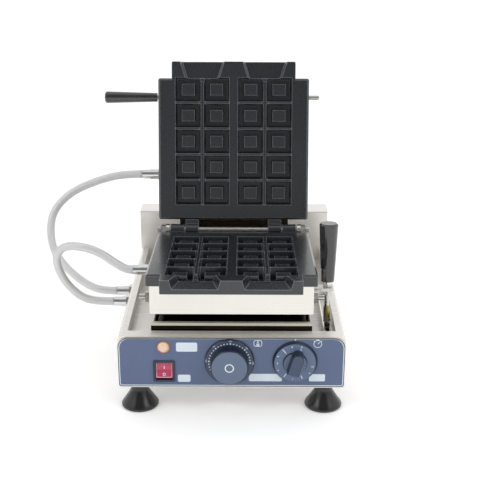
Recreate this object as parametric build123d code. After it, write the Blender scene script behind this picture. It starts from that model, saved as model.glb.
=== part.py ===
from build123d import *
import math
import os

# Base of folded sheet steel
BASE_DEPTH = 350.0
BASE_BOTTOM = 27.5
BASE_TOP = 96.5
BASE_CORNER = 5.0
SHEET = 1.5
SIDE_RIM = 11.0
SLOT_HALF = 7.0
FRONT_RIM = 20.0
REAR_BOX_DEPTH = 38.0
REAR_BOX_TOP = 156.0
WELL_FLOOR = 80.0
CLEARANCE = 0.3
MARGIN = 2.0

# Front panel and its controls
PANEL_THICKNESS = 2.0
PANEL_BOTTOM = 30.3
PANEL_CORNER = 9.0
PANEL_INSET = 1.2
LAMP_X = -83.3
LAMP_Z = 84.0
LAMP_RADIUS = 7.6
ROCKER_X = -83.0
ROCKER_Z = 51.2
ROCKER_FRAME = (26.8, 28.4)
ROCKER_SIZE = (20.4, 20.2)
ROCKER_TILT = 10.0
DIAL_Z = 64.6
THERMOSTAT_X = -2.3
DIAL_RADIUS = 30.6
DIAL_THICKNESS = 3.0
CAP_RADIUS = 23.6
CAP_TAPER = 2.0
CAP_PROUD = 16.0
TIMER_X = 78.2
SKIRT_RADIUS = 27.8
TIMER_PROUD = 18.0
TIMER_GRIP = (16.0, 30.0)
TIMER_REST_TURN = 16.6
SHAFT_RADIUS = 3.0

# Rubber feet
FOOT_FROM_SIDE = 25.0
FOOT_INSET = 26.0
FOOT_RADIUS = 21.8
FOOT_TOP_RADIUS = 11.0
FOOT_HEIGHT = 32.5

# Hinge axle that carries both irons
AXLE_Y = 226.0
AXLE_Z = 157.0
AXLE_RADIUS = 4.0
RUNNING_FIT = 0.05
BRACKET_THICKNESS = 4.0
BRACKET_EYE = 8.0
KNUCKLE_RADIUS = 8.0
KNUCKLE_PLAY = 1.5
UPPER_KNUCKLE = (49.0, 67.5)
LOWER_KNUCKLE_WIDTH = 19.0

# Cast waffle plates, measured from the axle towards the free edge
PLATE_WIDTH = 210.0
LOWER_PLATE_REAR = 9.5
UPPER_PLATE_REAR = 14.5
PLATE_FRONT = 211.5
PLATE_THICKNESS = 15.0
PART_GAP = 0.2
LIP_WIDTH = 172.0
LIP_LENGTH = 23.0
LIP_THICKNESS = 17.5
CELL_PITCH_X = 39.6
CELL_PITCH_Y = 36.0
CELL_ROWS = 5
FIRST_ROW = 52.0
CAVITY_RIB = 12.0
RIDGE_X = 4.0
RIDGE_Y = 2.6
PLATE_CHAMFER = 2.5
WING_CORNER = 3.0
CELL_DEPTH = 16.0
CELL_TAPER = 9.0
CELL_FLOOR = 4.0
KNOB_TOP = (17.6, 15.6)
KNOB_DROP = 4.0
KNOB_TAPER = 6.0
FUNNEL_THROAT = 44.0
FUNNEL_MOUTH = 61.0
FUNNEL_THROAT_DEPTH = 7.5
FUNNEL_MOUTH_DEPTH = 11.5
LOWER_TILT = 4.4
UPPER_TILT = 103.2

# Sheet housings over the heating elements
HOUSING_STEP = 4.0
HOUSING_REAR = 14.0
HOUSING_FRONT = 207.0
HOUSING_BACK = 52.0
HOUSING_CORNER = 4.0
ELEMENT_RADIUS = 3.5
ELEMENT_X = 44.0
ELEMENT_END_GAP = 22.0

# Upper handle
HANDLE_S = 186.0
HANDLE_N = 40.0
HANDLE_ROD_RADIUS = 3.2
GRIP_LENGTH = 75.0
HANDLE_RIGHT_OUT = 17.0
GRIP_GAP = 4.0
GRIP_THIN = 6.3
GRIP_THICK = 8.4

# Lifting handle on the lower iron
LIFT_GAP = 5.0
LIFT_S = 146.0
LIFT_ROD_RADIUS = 3.0
LIFT_GRIP_BOTTOM = 28.0
LIFT_GRIP_TOP = -48.0
LIFT_GRIP_THIN = 8.6
LIFT_GRIP_THICK = 12.0
LIFT_TAB_N = 40.0
LIFT_FOOT_N = 84.0
SLOT_WALL_GAP = 5.6

# Flexible conduits
HOSE_DIAMETER = 11.0
FITTING_RADIUS = 7.0
FITTING_N = 25.0
UPPER_FITTING_S = 77.0
LOWER_FITTING_S = 111.0
FITTING_LENGTH = 29.0
BASE_FITTING_LENGTH = 22.0
BASE_FITTING_Z = 80.0
UPPER_BASE_FITTING_Y = 186.0
LOWER_BASE_FITTING_Y = 149.0

# Routes of the two conduits, from the iron to the base
UPPER_HOSE = [
    (-130.3, 267.9, 226.3),
    (-160.0, 267.9, 226.3),
    (-200.0, 263.0, 216.0),
    (-233.0, 255.0, 202.0),
    (-256.0, 243.0, 180.0),
    (-260.5, 230.0, 153.0),
    (-254.0, 217.0, 126.0),
    (-232.0, 203.0, 103.0),
    (-204.0, 193.0, 84.5),
    (-182.0, 186.0, 80.0),
    (-162.3, 186.0, 80.0),
]
LOWER_HOSE = [
    (-130.3, 113.4, 140.6),
    (-139.0, 113.4, 140.6),
    (-154.0, 115.0, 149.0),
    (-174.0, 118.0, 163.0),
    (-197.0, 121.0, 170.0),
    (-222.0, 124.5, 169.5),
    (-234.0, 128.0, 154.0),
    (-232.0, 132.0, 132.0),
    (-222.0, 137.5, 108.0),
    (-203.0, 143.5, 86.0),
    (-180.0, 149.0, 80.0),
    (-162.3, 149.0, 80.0),
]

# Where the middle of the object's box lies in the base's own frame
GLAND_LENGTH = 10.0

# Sizes that follow from the ones above
HOUSING_WIDTH = PLATE_WIDTH - 2 * HOUSING_STEP
LIFT_X = PLATE_WIDTH / 2 + LIFT_GRIP_THICK + LIFT_GAP
WELL_HALF = LIFT_X + SLOT_HALF
BASE_WIDTH = 2 * (WELL_HALF + SIDE_RIM)
FOOT_X = BASE_WIDTH / 2 - FOOT_FROM_SIDE
SLOT_WALL_X = LIFT_X - SLOT_WALL_GAP - SHEET
LOWER_KNUCKLE = (UPPER_KNUCKLE[1] + KNUCKLE_PLAY, UPPER_KNUCKLE[1] + KNUCKLE_PLAY + LOWER_KNUCKLE_WIDTH)
BRACKET_X = LOWER_KNUCKLE[1] + KNUCKLE_PLAY
GRIP_START = PLATE_WIDTH / 2 + GRIP_GAP
HANDLE_LEFT = GRIP_START + GRIP_LENGTH
HANDLE_RIGHT = PLATE_WIDTH / 2 + HANDLE_RIGHT_OUT
FITTING_END_X = HOUSING_WIDTH / 2 + FITTING_LENGTH
BASE_FITTING_X = BASE_WIDTH / 2 + BASE_FITTING_LENGTH
CELL = (CELL_PITCH_X - RIDGE_X, CELL_PITCH_Y - RIDGE_Y)
CAVITY_WIDTH = CELL_PITCH_X + CELL[0]
CAVITY_X = (CAVITY_RIB + CAVITY_WIDTH) / 2
CAVITY_START = FIRST_ROW - CELL[1] / 2
CAVITY_END = FIRST_ROW + CELL_PITCH_Y * (CELL_ROWS - 1) + CELL[1] / 2
FOOT_BOTTOM = BASE_BOTTOM - FOOT_HEIGHT
X_MIDDLE = (BASE_WIDTH / 2 - HANDLE_LEFT) / 2
Y_MIDDLE = (BASE_DEPTH + GLAND_LENGTH - CAP_PROUD - DIAL_THICKNESS) / 2
WELL_BACK = BASE_DEPTH - REAR_BOX_DEPTH


def bar_x(radius, start, end, y=0.0, z=0.0):
    """A round bar along X."""
    place = Plane(origin=(start, y, z), x_dir=(0, 1, 0), z_dir=(1, 0, 0))
    return extrude(place * Circle(radius), end - start)


def bar_y(radius, start, end, x=0.0, z=0.0):
    """A round bar along Y."""
    place = Plane(origin=(x, start, z), x_dir=(1, 0, 0), z_dir=(0, 1, 0))
    return extrude(place * Circle(radius), end - start)


def bar_z(radius, start, end, x=0.0, y=0.0):
    """A round bar along Z."""
    return Pos(x, y, start) * extrude(Circle(radius), end - start)


def block(x0, x1, y0, y1, z0, z1):
    """A block between two corners."""
    middle = ((x0 + x1) / 2, (y0 + y1) / 2, (z0 + z1) / 2)
    return Pos(*middle) * Box(abs(x1 - x0), abs(y1 - y0), abs(z1 - z0))


def nut_x(flats, bore, start, end, y=0.0, z=0.0):
    """A hexagon nut on a bar along X."""
    place = Plane(origin=(start, y, z), x_dir=(0, 1, 0), z_dir=(1, 0, 0))
    outline = RegularPolygon(flats / 2, 6, major_radius=False) - Circle(bore)
    return extrude(place * outline, end - start)


def in_lower(piece):
    """Place a piece of the lower iron, drawn level with the axle at the origin."""
    return Pos(0, AXLE_Y, AXLE_Z) * Rot(-LOWER_TILT, 0, 0) * piece


def in_upper(piece):
    """Place a piece of the upper iron, drawn closed with the axle at the origin."""
    return Pos(0, AXLE_Y, AXLE_Z) * Rot(-UPPER_TILT, 0, 0) * piece


def base_outline(inset):
    """The base's cross-section, with its two rounded upper edges."""
    width = BASE_WIDTH - 2 * inset
    height = BASE_TOP - BASE_BOTTOM - inset
    flat = Pos(0, BASE_BOTTOM + height / 2) * Rectangle(width, height)
    corners = flat.vertices().group_by(Axis.Y)[-1]
    return fillet(corners, BASE_CORNER - inset)


def control_holes(radius_extra):
    """The holes that the lamp, the switch and the two shafts pass through."""
    depth = PANEL_THICKNESS + SHEET + 1
    holes = [bar_y(LAMP_RADIUS - 2 + radius_extra, -1, depth, LAMP_X, LAMP_Z)]
    half_x = ROCKER_FRAME[0] / 2 - MARGIN + radius_extra
    half_z = ROCKER_FRAME[1] / 2 - MARGIN + radius_extra
    holes.append(block(
        ROCKER_X - half_x, ROCKER_X + half_x, -1, depth,
        ROCKER_Z - half_z, ROCKER_Z + half_z,
    ))
    for x in (THERMOSTAT_X, TIMER_X):
        holes.append(bar_y(SHAFT_RADIUS + 2, -1, depth, x, DIAL_Z))
    return holes


def base_shell():
    """Folded body with the sunken well that the lower iron lies over."""
    place = Plane(origin=(0, PANEL_THICKNESS, 0), x_dir=(1, 0, 0), z_dir=(0, -1, 0))
    length = BASE_DEPTH - PANEL_THICKNESS
    shell = extrude(place * base_outline(0), -length)
    inner = Pos(0, SHEET, 0) * extrude(place * base_outline(SHEET), -(length - 2 * SHEET))
    shell -= inner
    half = WELL_HALF
    shell += block(
        -half - SHEET, half + SHEET, FRONT_RIM - SHEET, WELL_BACK + SHEET,
        WELL_FLOOR - SHEET, BASE_TOP - SHEET / 2,
    )
    shell -= block(-half, half, FRONT_RIM, WELL_BACK, WELL_FLOOR, BASE_TOP + 1)
    for hole in control_holes(0):
        shell -= hole
    for y in (UPPER_BASE_FITTING_Y, LOWER_BASE_FITTING_Y):
        shell -= bar_x(FITTING_RADIUS - 2, -BASE_WIDTH / 2 - 1, -BASE_WIDTH / 2 + 3, y, BASE_FITTING_Z)
    shell -= bar_y(6.0, BASE_DEPTH - 3, BASE_DEPTH + 1, -90, 55)
    shell -= block(LIFT_X - 3, LIFT_X + 3, 34, 70, WELL_FLOOR - 3, WELL_FLOOR + 1)
    return shell


def bottom_cover():
    """Screwed plate under the base, with rows of vent slots."""
    half = BASE_WIDTH / 2 - SHEET - CLEARANCE
    front = PANEL_THICKNESS + SHEET + CLEARANCE
    back = BASE_DEPTH - SHEET - CLEARANCE
    plate = block(-half, half, front, back, BASE_BOTTOM, BASE_BOTTOM + SHEET)
    slots = GridLocations(16, 60, 8, 2)
    middle = (front + back) / 2
    for spot in slots:
        at = spot.position
        plate -= block(at.X - 3, at.X + 3, middle + at.Y - 20, middle + at.Y + 20,
                       BASE_BOTTOM - 1, BASE_BOTTOM + SHEET + 1)
    return plate


def rear_box():
    """Steel cover behind the irons, open below onto the base's rear strip."""
    half = BASE_WIDTH / 2
    height = REAR_BOX_TOP - BASE_TOP
    box = block(-half, half, WELL_BACK, BASE_DEPTH, BASE_TOP, REAR_BOX_TOP)
    long_edges = box.edges().filter_by(Axis.X).group_by(Axis.Z)[-1]
    box = fillet(long_edges, 2.0)
    inner = block(-half + SHEET, half - SHEET, WELL_BACK + SHEET, BASE_DEPTH - SHEET,
                  BASE_TOP - 1, BASE_TOP + height - SHEET)
    return box - inner


def front_panel():
    """Printed control panel, with two rounded upper corners."""
    height = BASE_TOP - PANEL_INSET - PANEL_BOTTOM
    outline = Rectangle(BASE_WIDTH - 2 * PANEL_INSET, height)
    outline = fillet(outline.vertices().group_by(Axis.Y)[-1], PANEL_CORNER)
    outline = fillet(outline.vertices().group_by(Axis.Y)[0], 3.0)
    place = Plane(origin=(0, PANEL_THICKNESS, PANEL_BOTTOM + height / 2), x_dir=(1, 0, 0), z_dir=(0, -1, 0))
    panel = extrude(place * outline, PANEL_THICKNESS)
    for hole in control_holes(CLEARANCE):
        panel -= hole
    return panel


def foot(x, y):
    """Bell-shaped rubber foot, a short neck above a wide cone with a rolled edge."""
    wide = FOOT_RADIUS
    thin = FOOT_TOP_RADIUS
    top = FOOT_HEIGHT
    line = Polyline(
        (0, 0), (wide - 5, 0), (wide - 1.5, 1.5), (wide, 5), (wide - 0.5, 8), (thin, top - 6), (thin, top), (0, top),
        close=True,
    )
    return Pos(x, y, FOOT_BOTTOM) * revolve(Plane.XZ * make_face(line), Axis.Z)


def feet():
    spots = [(sx * FOOT_X, y) for sx in (-1, 1) for y in (FOOT_INSET, BASE_DEPTH - FOOT_INSET)]
    return Compound([foot(x, y) for x, y in spots])


def drip_tray():
    """Bright tray under the lower iron, with a tall front wall."""
    half = HOUSING_WIDTH / 2 - 1
    front = FRONT_RIM + 2
    back = AXLE_Y - 18
    low = WELL_FLOOR
    tray = block(-half, half, front, back, low, low + 12)
    tray += block(-half, half, front, front + SHEET, low, low + 26)
    tray -= block(-half + SHEET, half - SHEET, front + SHEET, back - SHEET, low + SHEET, low + 13)
    tray += block(-half, half, front, front + 5, low + 26 - SHEET, low + 26)
    return tray


def axle_bracket(side):
    """Upright ear with a foot, which carries one end of the axle."""
    x0 = side * BRACKET_X
    x1 = side * (BRACKET_X + BRACKET_THICKNESS)
    low = WELL_FLOOR
    eye = bar_x(BRACKET_EYE, min(x0, x1), max(x0, x1), AXLE_Y, AXLE_Z)
    place = Plane(origin=(min(x0, x1), AXLE_Y, 0), x_dir=(0, 1, 0), z_dir=(1, 0, 0))
    web = Polyline(
        (-3, low), (26, low), (BRACKET_EYE, AXLE_Z), (-BRACKET_EYE, AXLE_Z), (-3, AXLE_Z - 20), close=True
    )
    ear = eye + extrude(place * make_face(web), BRACKET_THICKNESS)
    ear += block(x0, side * (BRACKET_X + 20), AXLE_Y - 3, AXLE_Y + 26, low, low + 3)
    ear -= bar_x(AXLE_RADIUS + RUNNING_FIT, -BASE_WIDTH, BASE_WIDTH, AXLE_Y, AXLE_Z)
    return ear


def axle_brackets():
    return Compound([axle_bracket(-1), axle_bracket(1)])


def axle_pin():
    """Long steel pin through both pairs of knuckles."""
    end = BRACKET_X + BRACKET_THICKNESS + 14.5
    return chamfer(bar_x(AXLE_RADIUS, -end, end, AXLE_Y, AXLE_Z).edges(), 0.8)


def axle_nuts():
    """A washer and a nut at each end of the axle."""
    pieces = []
    start = BRACKET_X + BRACKET_THICKNESS
    bore = AXLE_RADIUS
    for side in (-1, 1):
        washer = [side * start, side * (start + 1.5)]
        nut = [side * (start + 1.5), side * (start + 8)]
        ring = bar_x(8.5, min(washer), max(washer), AXLE_Y, AXLE_Z)
        ring -= bar_x(bore, min(washer) - 1, max(washer) + 1, AXLE_Y, AXLE_Z)
        pieces.append(ring)
        pieces.append(nut_x(13, bore, min(nut), max(nut), AXLE_Y, AXLE_Z))
    return Compound(pieces)


def slot_wall():
    """Thin upright strip that parts the lifting rod's slot from the tray."""
    return block(SLOT_WALL_X, SLOT_WALL_X + SHEET, FRONT_RIM, AXLE_Y - 26, WELL_FLOOR, BASE_TOP - 1)


def rod_rest():
    """Rubber pad in the slot, where the lifting rod's foot stands."""
    spot = in_lower(Pos(LIFT_X, -LIFT_S, -LIFT_FOOT_N) * Box(1, 1, 1)).center()
    top = spot.Z - 1.0
    pad = bar_z(SLOT_WALL_GAP - 1, WELL_FLOOR, top, LIFT_X, spot.Y)
    return chamfer(pad.edges().group_by(Axis.Z)[-1], 0.5)


def rocker_frame():
    """Plastic switch body, with the bezel that shows on the panel."""
    wide, high = ROCKER_FRAME
    body = block(ROCKER_X - wide / 2, ROCKER_X + wide / 2, -1.5, 0, ROCKER_Z - high / 2, ROCKER_Z + high / 2)
    body = fillet(body.edges().filter_by(Axis.Y), 1.5)
    inner_x = wide / 2 - MARGIN
    inner_z = high / 2 - MARGIN
    body += block(ROCKER_X - inner_x, ROCKER_X + inner_x, 0, 17, ROCKER_Z - inner_z, ROCKER_Z + inner_z)
    open_x = ROCKER_SIZE[0] / 2 + CLEARANCE
    open_z = ROCKER_SIZE[1] / 2 + 5 * CLEARANCE
    body -= block(ROCKER_X - open_x, ROCKER_X + open_x, -2, 14, ROCKER_Z - open_z, ROCKER_Z + open_z)
    body += bar_x(1.5, ROCKER_X - open_x, ROCKER_X + open_x, 7, ROCKER_Z)
    return body


def rocker():
    """Red rocker with two faces at a shallow angle, turning on the frame's cross pin."""
    half = ROCKER_SIZE[1] / 2
    drop = half * math.sin(math.radians(ROCKER_TILT))
    place = Plane(origin=(ROCKER_X - ROCKER_SIZE[0] / 2, 7, ROCKER_Z), x_dir=(0, 0, 1), z_dir=(1, 0, 0))
    outline = make_face(Polyline(
        (-half, 8.0), (0, 8.0 - drop), (half, 8.0), (half - 1.5, 2.5), (3.4, -3.5), (-3.4, -3.5), (-half + 1.5, 2.5),
        close=True,
    ))
    body = extrude(place * outline, ROCKER_SIZE[0])
    body -= bar_x(1.5 + RUNNING_FIT, ROCKER_X - 20, ROCKER_X + 20, 7, ROCKER_Z)
    turn = Pos(0, 7, ROCKER_Z) * Rot(-ROCKER_TILT, 0, 0) * Pos(0, -7, -ROCKER_Z)
    return turn * body


def lamp_bezel():
    """Chrome ring around the lamp, with its body behind the panel."""
    ring = bar_y(LAMP_RADIUS, -1.2, 0, LAMP_X, LAMP_Z)
    ring += bar_y(LAMP_RADIUS - 2, 0, 14, LAMP_X, LAMP_Z)
    ring -= bar_y(LAMP_RADIUS - 1.2, -2, -0.5, LAMP_X, LAMP_Z)
    return ring - bar_y(LAMP_RADIUS - 3, -1, 10, LAMP_X, LAMP_Z)


def lamp_lens():
    """Domed orange lens on a stem in the bezel."""
    wide = LAMP_RADIUS - 1.2
    line = Polyline((0, 0), (wide, 0), (wide, 1.4), (wide * 0.8, 2.9), (wide * 0.45, 3.8), (0, 4.1), close=True)
    turned = revolve(Plane.XY * make_face(line), Axis.Y)
    return Pos(LAMP_X, -0.5, LAMP_Z) * Rot(0, 0, 180) * turned + bar_y(LAMP_RADIUS - 3, -1, 10, LAMP_X, LAMP_Z)


def control_body(x, wide, deep):
    """Box of a control behind the panel, with the bush that the shaft turns in."""
    back = PANEL_THICKNESS + SHEET
    top = WELL_FLOOR - SHEET - 1
    body = block(x - wide / 2, x + wide / 2, back, back + deep, 38, top)
    body += bar_y(SHAFT_RADIUS + 2 - CLEARANCE, PANEL_THICKNESS - 1.5, back + 1, x, DIAL_Z)
    return body - bar_y(SHAFT_RADIUS + RUNNING_FIT, PANEL_THICKNESS - 3, back + 13, x, DIAL_Z)


def thermostat_body():
    return control_body(THERMOSTAT_X, 44, 34)


def timer_body():
    return control_body(TIMER_X, 48, 42)


def knob_shaft(x):
    return bar_y(SHAFT_RADIUS, -2, PANEL_THICKNESS + SHEET + 12, x, DIAL_Z)


def thermostat_knob():
    """Round cap on a wide dial, and the shaft it turns."""
    x = THERMOSTAT_X
    gap = 0.5
    dial = bar_y(DIAL_RADIUS, -gap - DIAL_THICKNESS, -gap, x, DIAL_Z)
    dial = chamfer(dial.edges().group_by(Axis.Y)[0], 1.2)
    high = CAP_PROUD - gap
    lean = high * math.tan(math.radians(CAP_TAPER))
    line = Polyline(
        (0, 0), (CAP_RADIUS, 0), (CAP_RADIUS - lean, high - 1.4), (CAP_RADIUS - lean - 1.4, high), (0, high), close=True
    )
    cap = Rot(0, 0, 180) * revolve(make_face(line), Axis.Y)
    return dial + Pos(x, -gap - DIAL_THICKNESS, DIAL_Z) * cap + knob_shaft(x)


def timer_knob():
    """Dished skirt with a bar grip across it, and the shaft it turns."""
    x = TIMER_X
    gap = 0.5
    place = Plane(origin=(x, -gap, DIAL_Z), x_dir=(1, 0, 0), z_dir=(0, -1, 0))
    skirt = extrude(place * Circle(SKIRT_RADIUS), 4, taper=30)
    hub = extrude(place * Circle(17), 6.5, taper=25)
    wide, long = TIMER_GRIP
    grip = Pos(0, -1) * Rectangle(wide, long - wide / 2)
    grip += Pos(0, long / 2 - wide / 4 - 1) * Circle(wide / 2)
    bar = extrude(place * (Rot(0, 0, -TIMER_REST_TURN) * grip), TIMER_PROUD, taper=3)
    bar = chamfer(bar.edges().group_by(Axis.Y)[0], 0.8)
    return skirt + hub + bar + knob_shaft(x)


def terminal_block():
    """Row of screw terminals on the base's floor."""
    low = BASE_BOTTOM + SHEET
    middle = WELL_BACK - 50
    body = block(-40, 40, middle - 13, middle + 13, low, low + 20)
    for i in range(6):
        body -= bar_z(3, low + 12, low + 30, -32.5 + i * 13, middle)
    return body


def base_glands():
    """Two conduit fittings through the base's left wall."""
    wall = -BASE_WIDTH / 2
    pieces = []
    for y in (UPPER_BASE_FITTING_Y, LOWER_BASE_FITTING_Y):
        end = -BASE_FITTING_X
        body = bar_x(FITTING_RADIUS, wall - 10, wall, y, BASE_FITTING_Z)
        body += bar_x(FITTING_RADIUS - 2.2, wall - 10, wall + SHEET, y, BASE_FITTING_Z)
        body += nut_x(16, 2, wall - 5, wall, y, BASE_FITTING_Z)
        body += bar_x(FITTING_RADIUS - 0.6, end, wall - 9, y, BASE_FITTING_Z)
        body += nut_x(13, 2, wall + SHEET, wall + SHEET + 4, y, BASE_FITTING_Z)
        pieces.append(body - bar_x(3.5, end - 1, wall + 20, y, BASE_FITTING_Z))
    return Compound(pieces)


def mains_gland():
    """Gland in the back wall for the mains lead."""
    body = bar_y(9, BASE_DEPTH, BASE_DEPTH + GLAND_LENGTH, -90, 55)
    body = chamfer(body.edges().group_by(Axis.Y)[-1], 2)
    body += bar_y(6, BASE_DEPTH - 6, BASE_DEPTH, -90, 55)
    return body - bar_y(4, BASE_DEPTH - 8, BASE_DEPTH + 20, -90, 55)


def cell_spots():
    """Middles of the waffle cells, as x and the distance from the axle."""
    columns = [side * CAVITY_X + half * CELL_PITCH_X / 2 for side in (-1, 1) for half in (-1, 1)]
    return [(x, FIRST_ROW + CELL_PITCH_Y * row) for x in columns for row in range(CELL_ROWS)]


def pocket(x, s, size):
    """Tapered pocket below the face of a plate, around a middle."""
    mouth = Plane(origin=(x, -s, -PART_GAP), z_dir=(0, 0, -1)) * Rectangle(*size)
    return extrude(mouth, CELL_DEPTH - PART_GAP, taper=CELL_TAPER)


def cavity(side):
    """The tapered hollow for one waffle."""
    middle = (CAVITY_START + CAVITY_END) / 2
    return pocket(side * CAVITY_X, middle, (CAVITY_WIDTH, CAVITY_END - CAVITY_START))


def waffle_plate(rear):
    """Cast plate, face up: wings, a raised pan round two tapered cavities, and a lip with two pour funnels."""
    half = PLATE_WIDTH / 2
    face = -PART_GAP
    plate = block(-half, half, -PLATE_FRONT, -rear, face, -PLATE_THICKNESS)
    upright = plate.edges().filter_by(Axis.Z)
    plate = fillet(upright, WING_CORNER)
    rim = plate.faces().sort_by(Axis.Z)[-1].edges()
    sides = [e for e in rim if e.center().Y > -PLATE_FRONT + WING_CORNER]
    plate = chamfer(sides, PLATE_CHAMFER)
    pan = CAVITY_X + CAVITY_WIDTH / 2 + CELL_FLOOR
    plate += block(-pan, pan, -PLATE_FRONT, -CAVITY_START + CELL_FLOOR, face, -CELL_DEPTH - CELL_FLOOR)
    lip = block(-LIP_WIDTH / 2, LIP_WIDTH / 2, -PLATE_FRONT - LIP_LENGTH, -PLATE_FRONT + 4, face, -LIP_THICKNESS)
    plate += fillet(lip.edges().filter_by(Axis.Z).group_by(Axis.Y)[0], 2.0)
    for side in (-1, 1):
        plate -= cavity(side)
        plate -= Pos(side * CAVITY_X, 0, 0) * funnel()
    return plate


def ribs():
    """Ridges between the cells: a long one in each cavity, and a short one on both sides of it between rows."""
    pieces = []
    spread = CELL_DEPTH * math.tan(math.radians(CELL_TAPER))
    for side in (-1, 1):
        grid = cavity(side)
        for x, s in cell_spots():
            if x * side > 0:
                grid -= pocket(x, s, CELL)
        grid -= Pos(side * CAVITY_X, 0, 0) * funnel()
        half = RIDGE_X / 2 + spread
        x = side * CAVITY_X
        middle = block(x - half, x + half, -CAVITY_END - 1, -CAVITY_START + 1, 1, -CELL_DEPTH - 1)
        pieces += (grid & middle).solids()
        pieces += (grid - middle).solids()
    return Compound(pieces)


def knobs():
    """The tapered knob in the middle of every cell."""
    height = CELL_DEPTH - KNOB_DROP
    spread = 2 * height * math.tan(math.radians(KNOB_TAPER))
    pieces = []
    for x, s in cell_spots():
        base = Pos(x, -s, -CELL_DEPTH) * Rectangle(KNOB_TOP[0] + spread, KNOB_TOP[1] + spread)
        pieces.append(extrude(base, height, taper=KNOB_TAPER))
    return Compound(pieces)


def funnel():
    """Flared pour mouth, cut through the front wall of a cavity and its lip."""
    start = CAVITY_END - 5
    end = PLATE_FRONT + LIP_LENGTH + 1
    top = 1.0
    throat = Plane(origin=(0, -start, 0), x_dir=(1, 0, 0), z_dir=(0, -1, 0))
    mouth = Plane(origin=(0, -end, 0), x_dir=(1, 0, 0), z_dir=(0, -1, 0))
    drops = ((throat, FUNNEL_THROAT, FUNNEL_THROAT_DEPTH), (mouth, FUNNEL_MOUTH, FUNNEL_MOUTH_DEPTH))
    sections = []
    for place, wide, deep in drops:
        slope = 2.5
        line = Polyline(
            (-wide / 2 + slope, -deep), (wide / 2 - slope, -deep), (wide / 2 + 1, top), (-wide / 2 - 1, top), close=True
        )
        sections.append(place * make_face(line))
    return loft(sections)


def knuckles(span, rear, upper):
    """A pair of hinge knuckles, each an eye on the axle and an arm to the plate's rear edge."""
    pieces = []
    sign = 1 if upper else -1
    for side in (-1, 1):
        x0, x1 = sorted((side * span[0], side * span[1]))
        eye = bar_x(KNUCKLE_RADIUS, x0, x1)
        arm = block(x0, x1, -rear, 0, sign * 1.0, sign * KNUCKLE_RADIUS)
        piece = eye + arm - bar_x(AXLE_RADIUS + RUNNING_FIT, x0 - 1, x1 + 1)
        pieces.append(piece)
    return pieces


def housing():
    """Sheet cover behind a plate, open towards it, with rounded upright corners."""
    half = HOUSING_WIDTH / 2
    cover = block(-half, half, -HOUSING_FRONT, -HOUSING_REAR, -PLATE_THICKNESS, -HOUSING_BACK)
    cover = fillet(cover.edges().filter_by(Axis.Z), HOUSING_CORNER)
    inner = block(
        -half + SHEET, half - SHEET, -HOUSING_FRONT + SHEET, -HOUSING_REAR - SHEET,
        -PLATE_THICKNESS + 1, -HOUSING_BACK + SHEET,
    )
    cover -= inner
    notch = CAVITY_X + CAVITY_WIDTH / 2 + CELL_FLOOR + CLEARANCE
    low = -CELL_DEPTH - CELL_FLOOR - CLEARANCE
    return cover - block(-notch, notch, -HOUSING_FRONT - 1, -HOUSING_FRONT + SHEET + 1, low, 0)


def element():
    """Heating element bent into a hairpin under the cells."""
    depth = -CELL_DEPTH - CELL_FLOOR - ELEMENT_RADIUS
    near = -HOUSING_REAR - ELEMENT_END_GAP
    far = -HOUSING_FRONT + ELEMENT_END_GAP
    corners = [(-ELEMENT_X, near, depth), (-ELEMENT_X, far, depth), (ELEMENT_X, far, depth), (ELEMENT_X, near, depth)]
    route = FilletPolyline(*corners, radius=30)
    place = Plane(origin=corners[0], z_dir=(0, -1, 0))
    return sweep(place * Circle(ELEMENT_RADIUS), path=route)


def sensor():
    """Thermostat bulb clamped under the middle of the plate."""
    depth = -CELL_DEPTH - CELL_FLOOR - 3
    return bar_y(3, -130, -80, 0, depth)


def hose_fitting(s, upper, hole):
    """Conduit fitting on the left side of a housing."""
    half = HOUSING_WIDTH / 2
    z = FITTING_N if upper else -FITTING_N
    if hole:
        return bar_x(3.5, -half - 2, -half + 3, -s, z)
    body = nut_x(16, 2, -half - 6, -half, -s, z)
    body += bar_x(FITTING_RADIUS, -half - 18, -half - 6, -s, z)
    body += bar_x(FITTING_RADIUS - 0.6, -FITTING_END_X, -half - 18, -s, z)
    return body - bar_x(3.5, -FITTING_END_X - 1, -half + 1, -s, z)


def stop_bolts():
    """A stud with a nut on each side of the lower housing."""
    pieces = []
    half = HOUSING_WIDTH / 2
    s, z = 176, -40
    for side in (-1, 1):
        x = sorted((side * half, side * (half + 15)))
        stud = bar_x(4, x[0], x[1], -s, z)
        n0, n1 = sorted((side * half, side * (half + 7)))
        ring = bar_x(8.5, *sorted((side * half, side * (half + 1.5))), -s, z)
        pieces.append(stud + nut_x(13, 3, n0, n1, -s, z) + ring)
    return pieces


def housing_screws(upper):
    """Cap screws that hold the housing's sides."""
    sign = 1 if upper else -1
    pieces = []
    for side in (-1, 1):
        for s in (34, 60):
            start = side * HOUSING_WIDTH / 2
            x = sorted((start, start + side * 4))
            head = bar_x(3.5, x[0], x[1], -s, sign * 30)
            pieces.append(head)
    return Compound(pieces)


def lift_bracket():
    """Angle bolted to the lower housing's right side, which carries the lifting rod."""
    half = HOUSING_WIDTH / 2
    plate = block(half, half + 3, -LIFT_S - 12, -LIFT_S + 12, -LIFT_TAB_N, -LIFT_TAB_N + 20)
    tab = block(half, LIFT_X + 7, -LIFT_S - 8, -LIFT_S + 8, -LIFT_TAB_N, -LIFT_TAB_N + 4)
    return plate + tab - bar_z(LIFT_ROD_RADIUS, -LIFT_TAB_N - 1, -LIFT_TAB_N + 5, LIFT_X, -LIFT_S)


def lift_rod():
    """Threaded rod from the grip, through the bracket, to its foot."""
    rod = bar_z(LIFT_ROD_RADIUS, -LIFT_FOOT_N, -LIFT_GRIP_BOTTOM + 30, LIFT_X, -LIFT_S)
    return chamfer(rod.edges().group_by(Axis.Z)[0], 0.8)


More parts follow.
